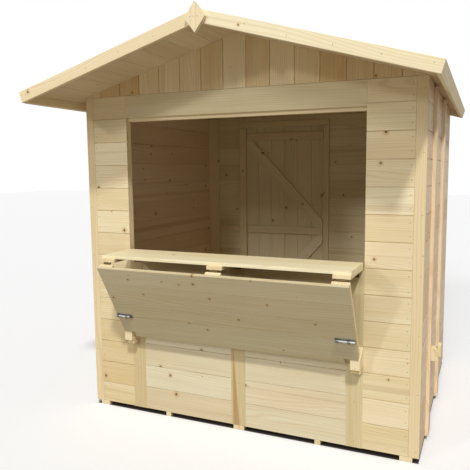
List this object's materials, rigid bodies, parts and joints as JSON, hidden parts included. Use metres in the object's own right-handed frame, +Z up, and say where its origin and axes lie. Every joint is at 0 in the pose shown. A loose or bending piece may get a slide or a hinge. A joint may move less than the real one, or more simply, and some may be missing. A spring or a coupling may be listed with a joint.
{
  "type": "wooden market stall",
  "caption": "Boarded timber market stall with a gable roof and front canopy, a serving hatch with a fold-down counter and hanging flap, and a ledged and braced back door.",
  "frame": {"origin": "on the ground, under the middle of the whole part's outline seen from above", "axes": "+Z up, -Y out of the serving front, +X to the right of someone who looks at the front"},
  "size_m": [2.2032, 2.057, 2.2525],
  "materials": {
    "spruce": "raw, planed",
    "galvanised_steel": "galvanised"
  },
  "bodies": {
    "stall": {"floor_joists": "spruce", "floor_deck": "spruce", "front_left_panel": "spruce", "front_right_panel": "spruce", "front_lower_panel": "spruce", "front_header": "spruce", "front_gable": "spruce", "corner_strips": "spruce", "front_strips": "spruce", "front_cleats": "spruce", "jamb_battens": "spruce", "head_lath": "spruce", "left_wall": "spruce", "right_wall": "spruce", "side_cleats": "spruce", "corner_posts": "spruce", "back_left_panel": "spruce", "back_right_panel": "spruce", "back_header": "spruce", "back_gable": "spruce", "door_stops": "spruce", "roof_left": "spruce", "roof_right": "spruce", "barge_front_left": "spruce", "barge_front_right": "spruce", "barge_back_left": "spruce", "barge_back_right": "spruce", "finial": "spruce", "side_battens": "spruce", "eave_boards": "spruce", "sill_hinges": "galvanised_steel", "door_pintles": "galvanised_steel"},
    "door": {"door_boards": "spruce", "door_ledges": "spruce", "door_braces": "spruce", "door_hinges": "galvanised_steel"},
    "counter": {"counter_boards": "spruce", "counter_battens": "spruce", "counter_hinges": "galvanised_steel", "fold_hinges": "galvanised_steel"},
    "flap": {"flap_boards": "spruce", "flap_foot": "spruce", "flap_battens": "spruce", "flap_hinges": "galvanised_steel", "flap_bolts": "galvanised_steel"}
  },
  "joints": [
    {"name": "door_hinge", "type": "hinge", "parent": "stall", "child": "door", "pos_m": [-0.6445, 1.0195, 0.965], "axis": [0, 0, 1], "range_deg": [0, 110]},
    {"name": "counter_hinge", "type": "hinge", "parent": "stall", "child": "counter", "pos_m": [0, -0.5965, 0.9725], "axis": [-1, 0, 0], "range_deg": [0, 90]},
    {"name": "flap_hinge", "type": "hinge", "parent": "counter", "child": "flap", "pos_m": [0, -0.8735, 0.9725], "axis": [-1, 0, 0], "range_deg": [0, 119]}
  ]
}
